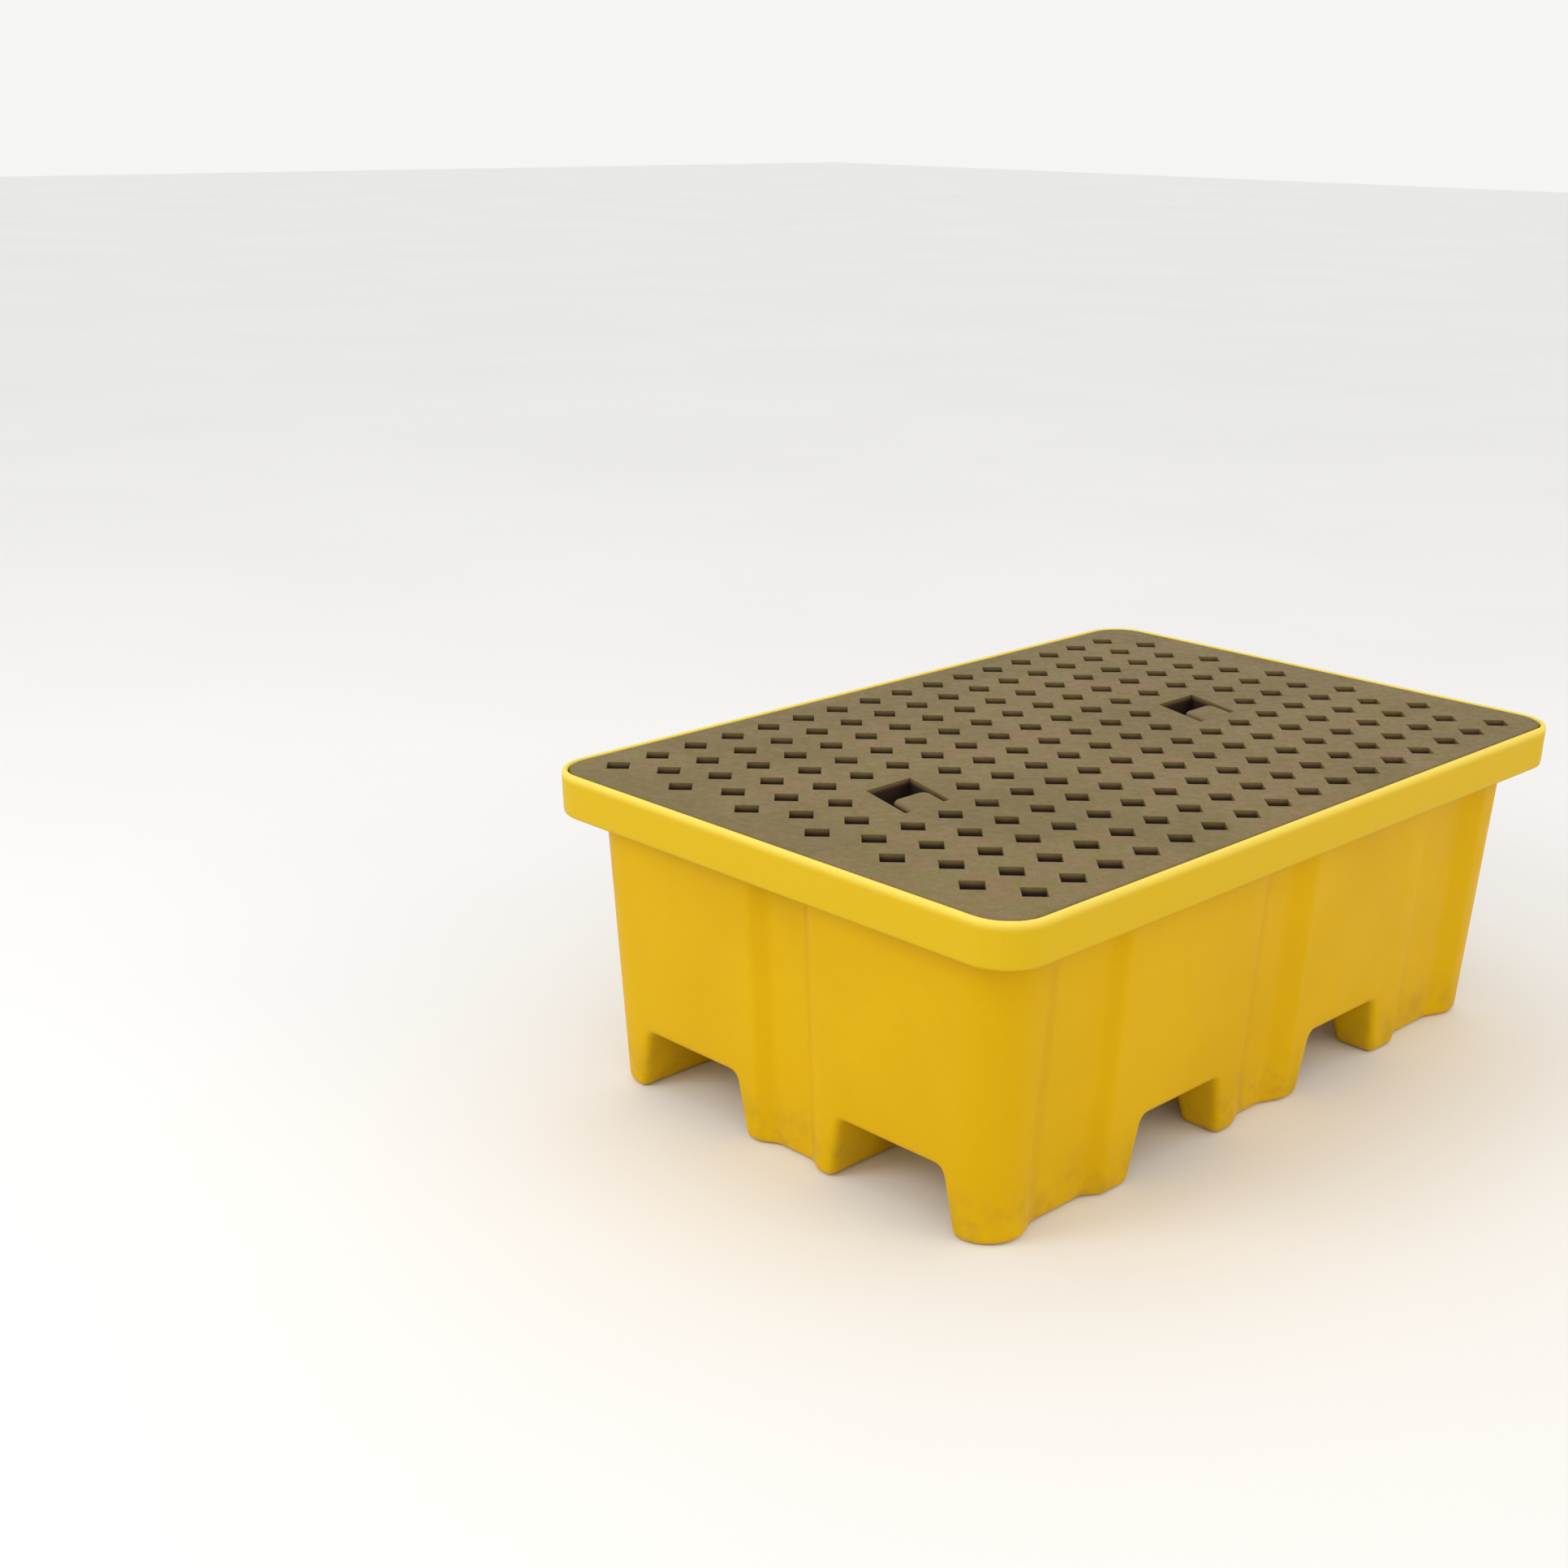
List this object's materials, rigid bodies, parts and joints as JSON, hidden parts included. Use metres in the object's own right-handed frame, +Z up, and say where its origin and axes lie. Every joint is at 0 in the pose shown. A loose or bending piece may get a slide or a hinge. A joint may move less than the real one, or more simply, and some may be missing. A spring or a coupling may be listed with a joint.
{
  "type": "spill containment pallet",
  "caption": "Low moulded plastic tub on hollow feet, with fork pockets on all sides and a lift-off slotted deck over an open sump, for standing drums on.",
  "frame": {"origin": "on the floor under the middle of the pallet", "axes": "+X along the long side, +Y along the short side, +Z up"},
  "size_m": [1.214, 0.8, 0.44],
  "materials": {
    "tub": "fine matt rotomoulded polyethylene, safety yellow, lightly scuffed",
    "deck": "dull structural foam, olive taupe with a fine grain",
    "post": "plain black moulded polyethylene"
  },
  "bodies": {
    "tub": {"sump_tub": "tub", "support_post_left": "post", "support_post_centre": "post", "support_post_right": "post"},
    "deck": {"deck_grid": "deck"}
  },
  "joints": [
    {"name": "deck_lift", "type": "slide", "parent": "tub", "child": "deck", "axis": [0, 0, 1], "range_m": [0, 0.25]}
  ]
}
